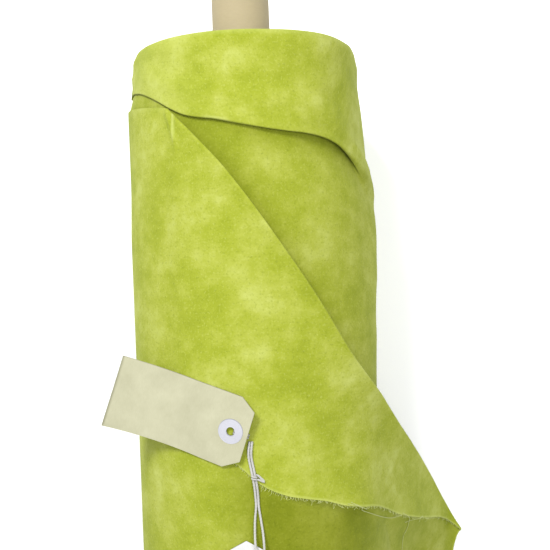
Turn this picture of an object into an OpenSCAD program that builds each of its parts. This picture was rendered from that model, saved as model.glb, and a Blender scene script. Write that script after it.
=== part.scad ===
// Bolt of cotton cloth on a cardboard tube, with its loose end turned down at one corner
// and two string tags lying on it. Millimetres. +Y runs along the tube, +Z is up, and the
// origin is the middle of the tube's bore.

/* [Tube] */
// Bore of the cardboard tube
tube_bore = 38; // [36:0.5:39]
// Outer diameter of the cardboard tube
tube_od = 42; // [42:0.5:44]
// How far the tube stands out of the cloth at each end
tube_proud = 55; // [40:1:60]

/* [Cloth] */
// Width of the cloth as it is wound, folded double
cloth_w = 1400; // [1300:10:1500]
// Thickness of one wound layer, which is two thicknesses of cotton
cloth_t = 0.8; // [0.7:0.05:0.9]
// Radius of the tightly wound mass
wound_r = 81.8; // [81.4:0.1:81.9]
// How far the weight of the roll flattens its underside
flat_sag = 2; // [1.6:0.1:2.4]
// Angle past the top where the loose end leaves the roll
leave_a = 59; // [56:1:60]

/* [Tags] */
// Length of a tag seen from above
tag_l = 92.5; // [90:0.5:94]
// Width of a tag
tag_w = 47; // [45:0.5:48]
// Diameter of the hole in a tag
tag_hole = 5.4; // [5.2:0.1:6]
// Diameter of one strand of the string
string_d = 1.6; // [1.4:0.1:1.6]

/* [Hidden] */
$fn = 96;

// Tube plies and cloth lengths
ply_t = 0.4;
tube_l = cloth_w + 2 * tube_proud;
cloth_y = cloth_w / 2;
selvedge_y = -cloth_y + 3;
tape_t = 0.2;
tape_short = 40;

// Cutting blocks reach this far from the origin, and past the roll's end
far = 200;
past_end_y = cloth_y + 10;

// The loose turns hang a little to the right of the tube and lower than it
loose_c = [3.6, -1.6];
gap = 0.3;
turn_r = wound_r + 4.3;
sheet_r = turn_r + cloth_t + gap;
flap_r = sheet_r + cloth_t + gap;
floor_z = -(wound_r - flat_sag) - 2 * (cloth_t + gap);

// Where the loose end lifts from the roll, and the foot where it curls onto the floor
hinge_a = -73;
hinge_gap_a = 1;
foot_r = 20;
leave_n = [sin(leave_a), cos(leave_a)];
line_d = leave_n * loose_c + sheet_r;
foot_c = [(line_d + foot_r - leave_n[1] * (floor_z + foot_r)) / leave_n[0], floor_z + foot_r];

// Plan points, (x, y): the fold runs from its apex over the roll to the corner on the floor
apex = [-48, 653];
fold = [[-12, 612], [25, 560], [65, 490], [87, 456], [124, 395]];
fold_end = [foot_c[0], 324.5];
cut_mid = [42, 395];
peel_outline = [[-54, 643], [-54, 438], [38, 396.8]];
corner_y = [300, 660];
top_edge = [-95, 664];
lip = [[-92, 677], [-70, 669], [-45, 651], [-28, 644], [2, 637.5], [37, 632], [54, 630], [75, 619], [95, 602]];
pleat_back = [[110, 605], [110, 720], [-110, 720], [-110, 690]];
pleat_from_y = 600;
pleat_t = 2;

// The tags: the stock tag is bent over the roll, the price tag lies flat on it
tag_t = 0.4;
patch_t = 0.2;
patch_d = 16;
chamfer_l = 10;
chamfer_w = 7;
eyelet_l = 11;
stock_tag_at = [-3.7, 440.7];
stock_tag_turn = 161;
stock_r = flap_r + cloth_t + gap + patch_t;
stock_contact_a = -22;
stock_dip_a = -28;
stock_curl_r = 75;
stock_curl_end_a = 215;
stock_flat_l = 40;
price_tag_tilt = 11;
price_eyelet = [16.2, 357.2];
price_tag_turn = 243.6;
price_r = sheet_r + cloth_t + gap + patch_t;

// The string: two strands from the stock tag, through the knot, into the price tag's hole
knot_at = [-0.4, 415, 89.7];
strand_side = 0.85;
strand_mid = [
  [-1.7, 437.3, 88.4], [-2.5, 432, 88.4], [-2.6, 427, 88.4], [-1.6, 421, 88.4],
  [-0.6, 415, 88.6], [0.2, 409, 88.1], [0.6, 403, 87.5], [0.8, 396, 87.4]
];
strand_a = concat(
  [for (p = strand_mid) p - [strand_side, 0, 0]],
  [[-1.0, 388, 87.6], [-1.4, 380, 88.6], [-1.3, 373, 90.4], [-0.4, 366, 90.9],
   [0.7, 360.5, 90.7], [1.6, 357.6, 89.6], [1.7, 357.4, 87.9]]
);
strand_b = concat(
  [for (p = strand_mid) p + [strand_side, 0, 0]],
  [[2.6, 388, 87.6], [3.6, 380, 88.4], [4.1, 373, 90.4], [4.1, 366, 91.0],
   [3.9, 360.5, 90.8], [3.5, 357.6, 89.6], [3.4, 357.4, 87.9]]
);

// Helpers -----------------------------------------------------------------

// A 2D outline in X and Z, drawn as (x, z), carried along Y from y0 to y1
module along_y(y0, y1) {
  translate([0, y1, 0]) rotate([90, 0, 0]) linear_extrude(y1 - y0) children();
}

// A vertical block over a plan outline
module over_plan(points) {
  translate([0, 0, -far]) linear_extrude(2 * far) polygon(points);
}

// The direction at angle a, measured from the top towards +X
function dir(a) = [sin(a), cos(a)];

// A stretch of ring between two angles
module sector(r1, r2, a1, a2) {
  steps = ceil((a2 - a1) / 45);
  intersection() {
    difference() {
      circle(r2);
      circle(r1);
    }
    polygon(concat([[0, 0]], [for (i = [0:steps]) 3 * r2 * dir(a1 + (a2 - a1) * i / steps)]));
  }
}

// A loose turn's outline, round above and flattened where it rests
module turn_outline(r, rest_z) {
  intersection() {
    translate(loose_c) circle(r);
    translate([-far, rest_z]) square(2 * far);
  }
}

// Points along an arc, about 3 degrees apart
function arc(c, r, a1, a2) =
  let (n = ceil(abs(a2 - a1) / 3)) [for (i = [0:n]) c + r * dir(a1 + (a2 - a1) * i / n)];

// The cross-section of cloth that leaves the roll and runs down to the floor
module drape_outline(lift) {
  r1 = sheet_r + lift;
  r2 = r1 + cloth_t;
  f1 = foot_r - lift;
  f2 = f1 - cloth_t;
  foot_a = 180 + leave_a;
  polygon(concat(
    arc(loose_c, r2, hinge_a, leave_a), arc(foot_c, f2, foot_a, 180),
    arc(foot_c, f1, 180, foot_a), arc(loose_c, r1, leave_a, hinge_a)
  ));
}

// A tag's outline, its hole's end at the origin and its length along +X
module tag_outline() {
  difference() {
    polygon([
      [0, -tag_w / 2 + chamfer_w], [chamfer_l, -tag_w / 2], [tag_l, -tag_w / 2],
      [tag_l, tag_w / 2], [chamfer_l, tag_w / 2], [0, tag_w / 2 - chamfer_w]
    ]);
    translate([eyelet_l, 0]) circle(d = tag_hole);
  }
}

// A round patch with the tag's hole in it
module patch_outline() {
  difference() {
    translate([eyelet_l, 0]) circle(d = patch_d);
    translate([eyelet_l, 0]) circle(d = tag_hole);
  }
}

// The bent profile of the stock tag, between two heights above the cloth
module stock_profile(h1, h2) {
  t = dir(stock_contact_a);
  end = stock_flat_l * [t[1], -t[0]];
  curl_c = loose_c + (stock_r + stock_curl_r) * dir(stock_dip_a);
  curl_a = 180 + stock_dip_a;
  polygon(concat(
    [loose_c + (stock_r + h2) * t + end], arc(loose_c, stock_r + h2, stock_contact_a, stock_dip_a),
    arc(curl_c, stock_curl_r - h2, curl_a, stock_curl_end_a),
    arc(curl_c, stock_curl_r - h1, stock_curl_end_a, curl_a),
    arc(loose_c, stock_r + h1, stock_dip_a, stock_contact_a), [loose_c + (stock_r + h1) * t + end]
  ));
}

// One layer of the stock tag: its bent profile, cut to a plan outline
module stock_layer(h1, h2) {
  intersection() {
    along_y(stock_tag_at[1] - tag_l, stock_tag_at[1] + tag_l) stock_profile(h1, h2);
    translate([stock_tag_at[0], stock_tag_at[1], 0]) rotate([0, 0, stock_tag_turn])
      linear_extrude(far) children();
  }
}

// One flat layer of the price tag, in the plane that rests on the roll
module price_layer(h1, h2) {
  translate([loose_c[0], 0, loose_c[1]]) rotate([0, -price_tag_tilt, 0])
    translate([price_eyelet[0], price_eyelet[1], price_r + h1]) rotate([0, 0, price_tag_turn])
      translate([-eyelet_l, 0, 0]) linear_extrude(h2 - h1) children();
}

// A round cord swept along a route of points
function unit(v) = v / norm(v);
function route_dir(p, i) = unit(p[min(i + 1, len(p) - 1)] - p[max(i - 1, 0)]);
function side_of(d) = unit(cross(d, abs(d[0]) < 0.9 ? [1, 0, 0] : [0, 0, 1]));
module cord(points, d) {
  sides = 8;
  n = len(points);
  rings = [for (i = [0:n - 1]) let (t = route_dir(points, i), u = side_of(t), w = cross(t, u))
    for (k = [0:sides - 1]) points[i] + d / 2 * (cos(k * 360 / sides) * u + sin(k * 360 / sides) * w)];
  walls = [for (i = [0:n - 2]) for (k = [0:sides - 1])
    [i * sides + k, (i + 1) * sides + k, (i + 1) * sides + (k + 1) % sides, i * sides + (k + 1) % sides]];
  first = [[for (k = [0:sides - 1]) k]];
  last = [[for (k = [0:sides - 1]) n * sides - 1 - k]];
  polyhedron(rings, concat(walls, first, last));
}

// Tube --------------------------------------------------------------------

module tube_ply(r1, r2) {
  rotate([90, 0, 0]) difference() {
    cylinder(h = tube_l, r = r2, center = true);
    cylinder(h = tube_l + 2, r = r1, center = true);
  }
}

module core_liner() {
  color("tan") tube_ply(tube_bore / 2, tube_bore / 2 + ply_t);
}

module core_board() {
  color("burlywood") tube_ply(tube_bore / 2 + ply_t, tube_od / 2 - ply_t);
}

module core_wrap() {
  color("wheat") tube_ply(tube_od / 2 - ply_t, tube_od / 2);
}

// Tape that holds the first turn of cloth to the tube
module start_tape() {
  color("ivory") along_y(-cloth_y + tape_short, cloth_y - tape_short)
    sector(tube_od / 2, tube_od / 2 + tape_t, 100, 140);
}

// Cloth -------------------------------------------------------------------

module wound_cloth() {
  color("yellowgreen") along_y(-cloth_y, cloth_y) difference() {
    intersection() {
      circle(wound_r);
      translate([-far, -(wound_r - flat_sag)]) square(2 * far);
    }
    circle(tube_od / 2 + tape_t);
  }
}

module loose_turn() {
  rest_z = floor_z + cloth_t + gap;
  color("olivedrab") along_y(-cloth_y + 1, cloth_y - 1) difference() {
    turn_outline(turn_r + cloth_t, rest_z);
    turn_outline(turn_r, rest_z + cloth_t);
  }
}

// The end of the loose turn, pushed up into a pleat that laps over the turn below it
module pleated_edge() {
  color("yellowgreen") intersection() {
    along_y(pleat_from_y, cloth_y) translate(loose_c) sector(sheet_r, sheet_r + pleat_t, -110, 106);
    over_plan(concat(lip, pleat_back));
  }
}

// The last turn, from where the loose end lifts, round under the roll
module last_turn() {
  start = hinge_a - hinge_gap_a;
  color("yellowgreen") intersection() {
    along_y(selvedge_y, top_edge[1]) difference() {
      turn_outline(sheet_r + cloth_t, floor_z);
      turn_outline(sheet_r, floor_z + cloth_t);
    }
    along_y(-cloth_y, cloth_y) translate(loose_c)
      polygon(concat([[0, 0]], [for (a = [start, start - 50, -180, -225, -250]) far * dir(a)]));
  }
}

// The loose end of the cloth, over the top of the roll and down to the floor
module free_end() {
  color("greenyellow") intersection() {
    along_y(selvedge_y, cloth_y) drape_outline(0);
    over_plan(concat(
      [[top_edge[0], -past_end_y], top_edge, apex], fold,
      [fold_end, [far, fold_end[1]], [far, -past_end_y]]
    ));
  }
}

// The part of the turned-down corner next to its fold, which lifts with the loose end
module corner_fold() {
  color("greenyellow") intersection() {
    along_y(corner_y[0], corner_y[1]) drape_outline(cloth_t);
    over_plan(concat([cut_mid, apex], fold, [fold_end]));
  }
}

// The turned-down corner itself, which peels up from the roll
module turned_corner() {
  color("greenyellow") intersection() {
    along_y(corner_y[0], corner_y[1]) drape_outline(cloth_t + gap);
    over_plan(peel_outline);
  }
}

// Tags --------------------------------------------------------------------

module stock_tag() {
  color("palegoldenrod") stock_layer(0, tag_t) tag_outline();
}

module stock_tag_patch_top() {
  color("white") stock_layer(tag_t, tag_t + patch_t) patch_outline();
}

module stock_tag_patch_back() {
  color("white") stock_layer(-patch_t, 0) patch_outline();
}

// The two strands of string under the stock tag, from its hole to its end
module stock_tag_loop() {
  from = [-12.6, 443.6, 87.15];
  to = [-2.7, 440.3, 88.3];
  color("white") for (side = [-strand_side, strand_side]) {
    aside = [0.3 * side, side, 0];
    cord([from + aside, (from + to) / 2 + aside, to + aside], string_d);
  }
}

module price_tag() {
  color("whitesmoke") price_layer(0, tag_t) tag_outline();
}

module price_tag_patch_top() {
  color("white") price_layer(tag_t, tag_t + patch_t) patch_outline();
}

module price_tag_patch_back() {
  color("white") price_layer(-patch_t, 0) patch_outline();
}

// String ------------------------------------------------------------------

module string_strand_a() {
  color("white") cord(strand_a, string_d);
}

module string_strand_b() {
  color("white") cord(strand_b, string_d);
}

module string_knot() {
  color("white") translate(knot_at) sphere(d = 4);
}

core_liner();
core_board();
core_wrap();
start_tape();
wound_cloth();
loose_turn();
pleated_edge();
last_turn();
free_end();
corner_fold();
turned_corner();
stock_tag();
stock_tag_patch_top();
stock_tag_patch_back();
stock_tag_loop();
price_tag();
price_tag_patch_top();
price_tag_patch_back();
string_strand_a();
string_strand_b();
string_knot();
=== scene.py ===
# Bolt of mottled lime-green cotton on a cardboard tube. Its loose end runs over the roll to
# the floor with one corner turned down, and two string tags lie on it.
#
# Metres, in the CAD frame: +Y runs along the tube, +Z is up, and the origin is the middle of
# the tube's bore. An angle round the roll is in degrees, from the top towards +X.

import math

import bmesh
import bpy
import numpy as np
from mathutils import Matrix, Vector


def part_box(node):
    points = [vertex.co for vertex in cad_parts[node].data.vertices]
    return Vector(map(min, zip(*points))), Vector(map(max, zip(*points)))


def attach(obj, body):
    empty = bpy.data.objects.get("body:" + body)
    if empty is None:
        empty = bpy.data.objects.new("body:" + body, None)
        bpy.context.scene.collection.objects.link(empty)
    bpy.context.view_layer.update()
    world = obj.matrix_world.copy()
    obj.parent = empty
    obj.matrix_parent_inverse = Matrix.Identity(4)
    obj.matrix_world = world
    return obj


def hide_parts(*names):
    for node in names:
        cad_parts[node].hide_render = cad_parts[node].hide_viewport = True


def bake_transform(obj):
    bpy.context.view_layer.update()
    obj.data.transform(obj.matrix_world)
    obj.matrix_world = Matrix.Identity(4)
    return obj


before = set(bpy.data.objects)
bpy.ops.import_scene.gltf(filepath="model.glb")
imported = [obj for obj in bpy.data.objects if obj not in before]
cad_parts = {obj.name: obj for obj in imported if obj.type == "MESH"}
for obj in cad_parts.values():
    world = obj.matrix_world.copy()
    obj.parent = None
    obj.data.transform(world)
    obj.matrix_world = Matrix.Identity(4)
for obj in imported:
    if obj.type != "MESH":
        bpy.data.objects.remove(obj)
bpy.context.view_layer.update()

MM = 0.001
rng = np.random.default_rng(7)


# Sizes, from the CAD nodes' boxes ---------------------------------------------------------

wound_lo, wound_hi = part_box("wound_cloth")
turn_lo, turn_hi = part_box("loose_turn")

CLOTH_T = 0.8 * MM        # one wound layer, which is two thicknesses of cotton
CLOTH_GAP = 0.3 * MM      # air between layers
LAYER = CLOTH_T + CLOTH_GAP
END_Y = wound_hi.y
TUBE_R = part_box("core_wrap")[1].x
TAPE_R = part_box("start_tape")[1].x
TURN_R = (turn_hi.x - turn_lo.x) / 2
CENTRE = np.array([(turn_lo.x + turn_hi.x) / 2, turn_hi.z - TURN_R])
SHEET_R = TURN_R + LAYER
FLAP_R = SHEET_R + LAYER
FLOOR_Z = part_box("last_turn")[0].z
# on the pale scale, values below WORN also carry painted shade, and values above it painted highlights
# and painted light as well as frayed edges
WORN = 0.5                # how pale the cloth's back is, from 0 at its dyed face to 1

SHEET_A = -100            # where the loose end's piece begins, further down the left side
TURN_FROM = -160          # under the roll, where the slack turns end and the outer turn begins
TURN_TO = 360 + SHEET_A   # one turn on, where the loose end's piece begins
LEAVE_A = 59              # where it leaves the roll for the floor
FOOT_R = 20 * MM          # bend where it meets the floor
FOOT_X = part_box("free_end")[1].x

# Plan points, as (x, y): the diagonal fold and its upper end, the turned corner's cut edge, and
# the loose end's edge to the left of the fold
APEX = (-48 * MM, 653 * MM)
FOLD = np.array([
    (-54, 660), (-48, 653), (-30, 633), (-12, 612), (5.5, 587), (22, 560), (40.5, 527),
    (58.5, 490.5), (78, 459), (93.5, 434), (106.5, 416), (121.5, 396), (134, 376.5),
    (145.5, 355.5), (159.5, 332.5), (164.95, 324.5)]) * MM
CUT = np.array([
    (-54, 438), (-30, 431), (-9, 421), (3, 410), (18, 402.5), (31, 399), (44, 395.5), (54, 391),
    (64, 387.5), (76, 383), (88, 374.5), (96, 367.5), (110, 358), (125, 349.5), (141.5, 341),
    (158, 328.5), (164.95, 323)]) * MM
TOP_EDGE = np.array([(-200, 670), (-95, 664), (-77, 660), (-48, 653)]) * MM
FOLD_STAND = 9 * MM       # the most that the fold stands off the roll


# Small helpers ----------------------------------------------------------------------------

def smooth(x, a, b):
    """0 before a, 1 after b, and an even S between them; b may lie below a."""
    t = np.clip((x - a) / (b - a), 0, 1)
    return t * t * (3 - 2 * t)


def bump(x, middle, width):
    """A bell of height 1 at middle."""
    return np.exp(-(((x - middle) / width) ** 2))


def curve(points):
    """A smooth function through (x, y) points, held level beyond them."""
    px, py = np.array(points, float).T
    slope = np.gradient(py, px)

    def at(x):
        x = np.clip(x, px[0], px[-1])
        i = np.clip(np.searchsorted(px, x) - 1, 0, len(px) - 2)
        h = px[i + 1] - px[i]
        t = (x - px[i]) / h
        return ((2 * t**3 - 3 * t**2 + 1) * py[i] + (t**3 - 2 * t**2 + t) * h * slope[i]
                + (3 * t**2 - 2 * t**3) * py[i + 1] + (t**3 - t**2) * h * slope[i + 1])
    return at


def soft_noise(x, y, cell, seed):
    """Smooth noise from -1 to 1 over the plane, with features about cell across."""
    lattice = np.random.default_rng(seed).uniform(-1, 1, (64, 64))
    gx, gy = np.asarray(x) / cell, np.asarray(y) / cell
    ix, iy = np.floor(gx).astype(int), np.floor(gy).astype(int)
    tx, ty = gx - ix, gy - iy
    tx, ty = tx * tx * (3 - 2 * tx), ty * ty * (3 - 2 * ty)
    a, b = lattice[ix % 64, iy % 64], lattice[(ix + 1) % 64, iy % 64]
    c, d = lattice[ix % 64, (iy + 1) % 64], lattice[(ix + 1) % 64, (iy + 1) % 64]
    return (a * (1 - tx) + b * tx) * (1 - ty) + (c * (1 - tx) + d * tx) * ty


def around(r, a, centre=CENTRE):
    """X and Z at radius r and angle a."""
    t = np.radians(a)
    return centre[0] + r * np.sin(t), centre[1] + r * np.cos(t)


def new_mesh(name, verts, faces, uv=None, pale=None, sharp=()):
    """A smooth-shaded mesh object. uv and pale hold one value a vertex; sharp lists vertex pairs."""
    mesh = bpy.data.meshes.new(name)
    mesh.from_pydata([tuple(v) for v in verts], [], [tuple(f) for f in faces])
    mesh.shade_smooth()
    loops = np.zeros(len(mesh.loops), np.int32)
    mesh.loops.foreach_get("vertex_index", loops)
    if uv is not None:
        layer = mesh.uv_layers.new(name="flat")
        layer.data.foreach_set("uv", np.asarray(uv, np.float32)[loops].ravel())
    if pale is not None:
        layer = mesh.attributes.new("pale", "FLOAT", "POINT")
        layer.data.foreach_set("value", np.asarray(pale, np.float32))
    if len(sharp):
        pairs = {tuple(sorted(p)) for p in sharp}
        flags = np.array([tuple(sorted(e.vertices)) in pairs for e in mesh.edges])
        mesh.attributes.new("sharp_edge", "BOOLEAN", "EDGE").data.foreach_set("value", flags)
    mesh.validate()
    obj = bpy.data.objects.new(name, mesh)
    bpy.context.scene.collection.objects.link(obj)
    return obj


def quads(index):
    """The cells of a grid of vertex numbers, as quads."""
    a, b, c, d = index[:-1, :-1], index[1:, :-1], index[1:, 1:], index[:-1, 1:]
    return np.stack([a, b, c, d], -1).reshape(-1, 4)


def grid_normals(face):
    """Unit normals of a grid of points."""
    du, dv = np.gradient(face, axis=0), np.gradient(face, axis=1)
    n = np.cross(du, dv)
    return n / np.maximum(np.linalg.norm(n, axis=-1, keepdims=True), 1e-12)


def grid_lengths(face, axis):
    """Distance along a grid's lines from their first point."""
    step = np.linalg.norm(np.diff(face, axis=axis), axis=-1)
    pad = [(0, 0), (0, 0)]
    pad[axis] = (1, 0)
    return np.pad(np.cumsum(step, axis=axis), pad)


def rows_along(first, middle, last, split, coarse, fine):
    """Rows from first by way of middle to last: coarse of them before middle, fine after it.
    last holds one value a column, and split is the share of the run given to the coarse rows."""
    share = np.concatenate([np.linspace(0, split, coarse, endpoint=False), np.linspace(split, 1, fine)])
    to_middle = np.interp(share, [0, split, 1], [0, 1, 1])[None, :]
    past_middle = np.interp(share, [0, split, 1], [0, 0, 1])[None, :]
    return first + (middle - first) * to_middle + (last[:, None] - middle) * past_middle


def cloth_arrays(face, flat_u, flat_v, pale=None, thick=CLOTH_T):
    """What new_mesh needs for a sheet with both faces and a rim, from a grid of points on its
    outer face. flat_u and flat_v give each point's place on the flat cloth, and carry the print."""
    nu, nv = face.shape[:2]
    back = face - grid_normals(face) * thick
    verts = np.concatenate([face.reshape(-1, 3), back.reshape(-1, 3)])
    index = np.arange(nu * nv).reshape(nu, nv)
    below = index + nu * nv
    border = np.concatenate([index[:, 0], index[-1, 1:], index[-2::-1, -1], index[0, -2:0:-1]])
    under = border + nu * nv
    rim = np.stack([border, under, np.roll(under, -1), np.roll(border, -1)], -1)
    faces = np.concatenate([quads(index), quads(below)[:, ::-1], rim])
    flat = np.stack([flat_u, flat_v], -1).reshape(-1, 2)
    shade = np.zeros(nu * nv) if pale is None else pale.reshape(-1)
    sharp = np.concatenate([np.stack([line, np.roll(line, -1)], -1) for line in (border, under)])
    return verts, faces, np.concatenate([flat, flat]), np.concatenate([shade, shade]), sharp


def weld(obj, distance):
    """Joins vertices that lie closer than distance."""
    mesh = bmesh.new()
    mesh.from_mesh(obj.data)
    bmesh.ops.remove_doubles(mesh, verts=mesh.verts, dist=distance)
    mesh.to_mesh(obj.data)
    mesh.free()


def frames_along(points):
    """Tangents and two steady side directions along a route."""
    p = np.array(points, float)
    t = np.gradient(p, axis=0)
    t /= np.linalg.norm(t, axis=1, keepdims=True)
    side = np.cross(t[0], (0, 0, 1) if abs(t[0][2]) < 0.9 else (1, 0, 0))
    sides = []
    for tangent in t:
        side = side - tangent * (side @ tangent)
        side /= np.linalg.norm(side)
        sides.append(side)
    sides = np.array(sides)
    return p, t, sides, np.cross(t, sides)


def smooth_route(points, step):
    """A Catmull-Rom curve through the points, resampled about every step."""
    p = np.array(points, float)
    ends = np.concatenate([[2 * p[0] - p[1]], p, [2 * p[-1] - p[-2]]])
    out = []
    for i in range(1, len(ends) - 2):
        a, b, c, d = ends[i - 1:i + 3]
        t = np.linspace(0, 1, 12, endpoint=False)[:, None]
        out.append(0.5 * (2 * b + (c - a) * t + (2 * a - 5 * b + 4 * c - d) * t**2
                          + (3 * b - a - 3 * c + d) * t**3))
    fine = np.concatenate(out + [p[-1:]])
    s = np.concatenate([[0], np.cumsum(np.linalg.norm(np.diff(fine, axis=0), axis=1))])
    want = np.linspace(0, s[-1], max(3, int(round(s[-1] / step)) + 1))
    return np.stack([np.interp(want, s, fine[:, k]) for k in range(3)], -1)


def tube_parts(points, radius, sides=8, lobes=0, pitch=5 * MM, depth=0.0, first=0):
    """Vertices and faces of a closed tube along a route; lobes twist round it as plies do."""
    p, t, u, w = frames_along(points)
    s = np.concatenate([[0], np.cumsum(np.linalg.norm(np.diff(p, axis=0), axis=1))])
    radii = np.broadcast_to(radius, len(p))
    phi = np.arange(sides) * 2 * math.pi / sides
    lobe = 1 - depth * (0.5 - 0.5 * np.cos(lobes * (phi[None, :] - 2 * math.pi * s[:, None] / pitch)))
    r = radii[:, None] * lobe
    outward = np.cos(phi)[None, :, None] * u[:, None] + np.sin(phi)[None, :, None] * w[:, None]
    ring = p[:, None] + r[..., None] * outward
    n = len(p)
    index = first + np.arange(n * sides).reshape(n, sides)
    wrap = np.concatenate([index, index[:, :1]], 1)
    faces = [tuple(q) for q in quads(wrap)[:, ::-1]]
    faces.append(tuple(index[0]))
    faces.append(tuple(index[-1, ::-1]))
    return ring.reshape(-1, 3), faces


def tubes_piece(name, routes):
    """One object of many tubes; each route is (points, radius, extra settings of tube_parts)."""
    verts, faces = [], []
    for points, radius, extra in routes:
        v, f = tube_parts(points, radius, first=sum(len(x) for x in verts), **extra)
        verts.append(v)
        faces.extend(f)
    verts = np.concatenate(verts)
    verts[:, 2] = np.maximum(verts[:, 2], FLOOR_Z)
    return new_mesh(name, verts, faces)


# Camera -----------------------------------------------------------------------------------

# It looks straight down on the upper end of the bolt, turned a little on its axis
CAMERA_AT = (17.7 * MM, 541.6 * MM, 613 * MM)
CAMERA_ROLL = -2.29
camera_data = bpy.data.cameras.new("camera")
camera_data.lens = 54.5
camera_data.sensor_width = 36
camera_data.clip_start = 0.01
camera = bpy.data.objects.new("camera", camera_data)
camera.location = CAMERA_AT
camera.rotation_euler = (0, 0, math.radians(CAMERA_ROLL))
bpy.context.scene.collection.objects.link(camera)
bpy.context.scene.camera = camera


# String -----------------------------------------------------------------------------------

STRING_D = 1.6 * MM
SPLIT = np.array([0.85, 0, 0])      # half the distance between the two strands

# The strands' routes, as in the CAD source
STRAND_MID = np.array([
    [-1.7, 437.3, 88.4], [-2.5, 432, 88.4], [-2.6, 427, 88.4], [-1.6, 421, 88.4],
    [-0.6, 415, 88.6], [0.2, 409, 88.1], [0.6, 403, 87.5], [0.8, 396, 87.4],
])
STRAND_A = np.concatenate([STRAND_MID - SPLIT, [
    [-1.0, 388, 87.6], [-1.4, 380, 88.6], [-1.3, 373, 90.4], [-0.4, 366, 90.9],
    [0.7, 360.5, 90.7], [1.6, 357.6, 89.6], [1.7, 357.4, 87.9]]]) * MM
STRAND_B = np.concatenate([STRAND_MID + SPLIT, [
    [2.6, 388, 87.6], [3.6, 380, 88.4], [4.1, 373, 90.4], [4.1, 366, 91.0],
    [3.9, 360.5, 90.8], [3.5, 357.6, 89.6], [3.4, 357.4, 87.9]]]) * MM
KNOT_AT = np.array([-0.4, 415, 89.7]) * MM
PLIES = dict(sides=18, lobes=3, pitch=6 * MM, depth=0.24)
ROUTE_STEP = 0.5 * MM

strings = []
for letter, route in (("a", STRAND_A), ("b", STRAND_B)):
    path = smooth_route(route, ROUTE_STEP)
    strand = tubes_piece("string_" + letter, [(path, STRING_D / 2, PLIES)])
    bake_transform(strand)
    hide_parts("string_strand_" + letter)
    strings.append(strand)

# The knot: two turns round the strands, and two short cut tails towards +X
turns = np.linspace(0, 2.1 * 2 * math.pi, 60)
wrap_route = KNOT_AT + np.stack([
    1.55 * MM * np.cos(turns), -1.5 * MM + 3 * MM * turns / turns[-1],
    -0.45 * MM + 1.15 * MM * np.sin(turns)], -1)


def knot_tail(start, *steps):
    """A cut tail from start through steps, which are millimetres from the knot."""
    return smooth_route([start] + [KNOT_AT + np.array(step) * MM for step in steps], ROUTE_STEP)


tail_1 = knot_tail(wrap_route[-1], (2.6, 0.9, -0.2), (4.4, -1.2, -0.9), (5.8, -2.9, -1.3))
tail_2 = knot_tail(wrap_route[0], (2.9, -1.9, -0.6), (4.6, -2.7, -1.1), (6.3, -3.4, -1.3))
knot = tubes_piece("string_knot_tie", [
    (smooth_route(wrap_route[::3], 0.4 * MM), 0.55 * MM, PLIES),
    (tail_1, np.linspace(0.6, 0.95, len(tail_1)) * MM, PLIES),
    (tail_2, np.linspace(0.6, 0.9, len(tail_2)) * MM, PLIES)])
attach(knot, "turned_corner")
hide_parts("string_knot")

# The doubled string under the stock tag, from its hole to its end
LOOP_FROM = np.array([-12.6, 443.6, 87.15]) * MM
LOOP_TO = np.array([-2.7, 440.3, 88.3]) * MM
loop_sides = [
    smooth_route([LOOP_FROM + side * np.array([0.3, 1, 0.6]) * MM,
                  (LOOP_FROM + LOOP_TO) / 2 + side * np.array([0.3, 1, 0]) * MM,
                  LOOP_TO + side * np.array([0.3, 1, 0]) * MM], ROUTE_STEP)
    for side in (-0.85, 0.85)]
tag_loop = tubes_piece("tag_loop", [(route, STRING_D / 2, PLIES) for route in loop_sides])
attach(tag_loop, "stock_tag")
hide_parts("stock_tag_loop")


# Wound cloth ------------------------------------------------------------------------------

# The tight mass stops three layers inside its CAD solid, and three slack turns fill the rest
SLACK_TURNS = 3
TIGHT_R = 79.4 * MM
TIGHT_FLAT = wound_lo.z + SLACK_TURNS * CLOTH_T
PITCH = 0.8 * MM
COLUMNS = 72              # a turn of the wound spiral

# Where the cloth's edge lies at the roll's end, by angle: it draws in at both sides
end_y = curve([
    (-160, 0.676), (-110, 0.680), (-90, 0.684), (-80, 0.6855), (-69, 0.6885), (-67, 0.6917),
    (-63, 0.6945), (-59, 0.6972), (-53, 0.6985), (-45, 0.699), (-16, 0.699), (0, 0.6985),
    (20, 0.6985), (44, 0.6985), (54, 0.698), (65, 0.697), (70, 0.6945), (76, 0.691), (85, 0.689),
    (100, 0.690), (120, 0.692), (170, 0.688), (215, 0.680), (260, 0.664)])

# The pleat's lip, by angle
lip_y = curve([
    (-160, 0.672), (-110, 0.680), (-95, 0.6785), (-82, 0.6745), (-64, 0.6705), (-55, 0.6675),
    (-42, 0.659), (-33, 0.6512), (-27, 0.6468), (-21, 0.6443), (-14, 0.6423), (-4, 0.6385),
    (4.5, 0.6357), (16, 0.633), (27, 0.6315), (34, 0.6298), (43.5, 0.6252), (52.5, 0.619),
    (61, 0.6125), (75, 0.604), (90, 0.598), (106, 0.594), (260, 0.56)])

# How far the slack cloth stands out on the right, by place along the roll, in millimetres
swell_y = curve([
    (-699, -6), (-680, -4), (-600, -1.5), (-400, 0), (0, 0.5), (300, 0), (480, -0.6), (494, 0.1),
    (509, 0.2), (523, 1.0), (538, 2.3), (552, 2.6), (567, 3.0), (580, 2.6), (590, 1.7),
    (597, 1.2), (603, 0.2), (611, -1.2), (618, -2.4), (625, -2.9), (640, -3.5), (654, -4.7),
    (669, -6.0), (676, -6.6), (687, -6.4), (699, -6.4)])

# The same on the left of the band
left_swell_y = curve([
    (-699, 0), (650, 0.4), (660, 0.4), (666, -0.8), (671, -2.1), (682, -2.8), (688, -2.1),
    (692, -0.8), (699, 0)])


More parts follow.
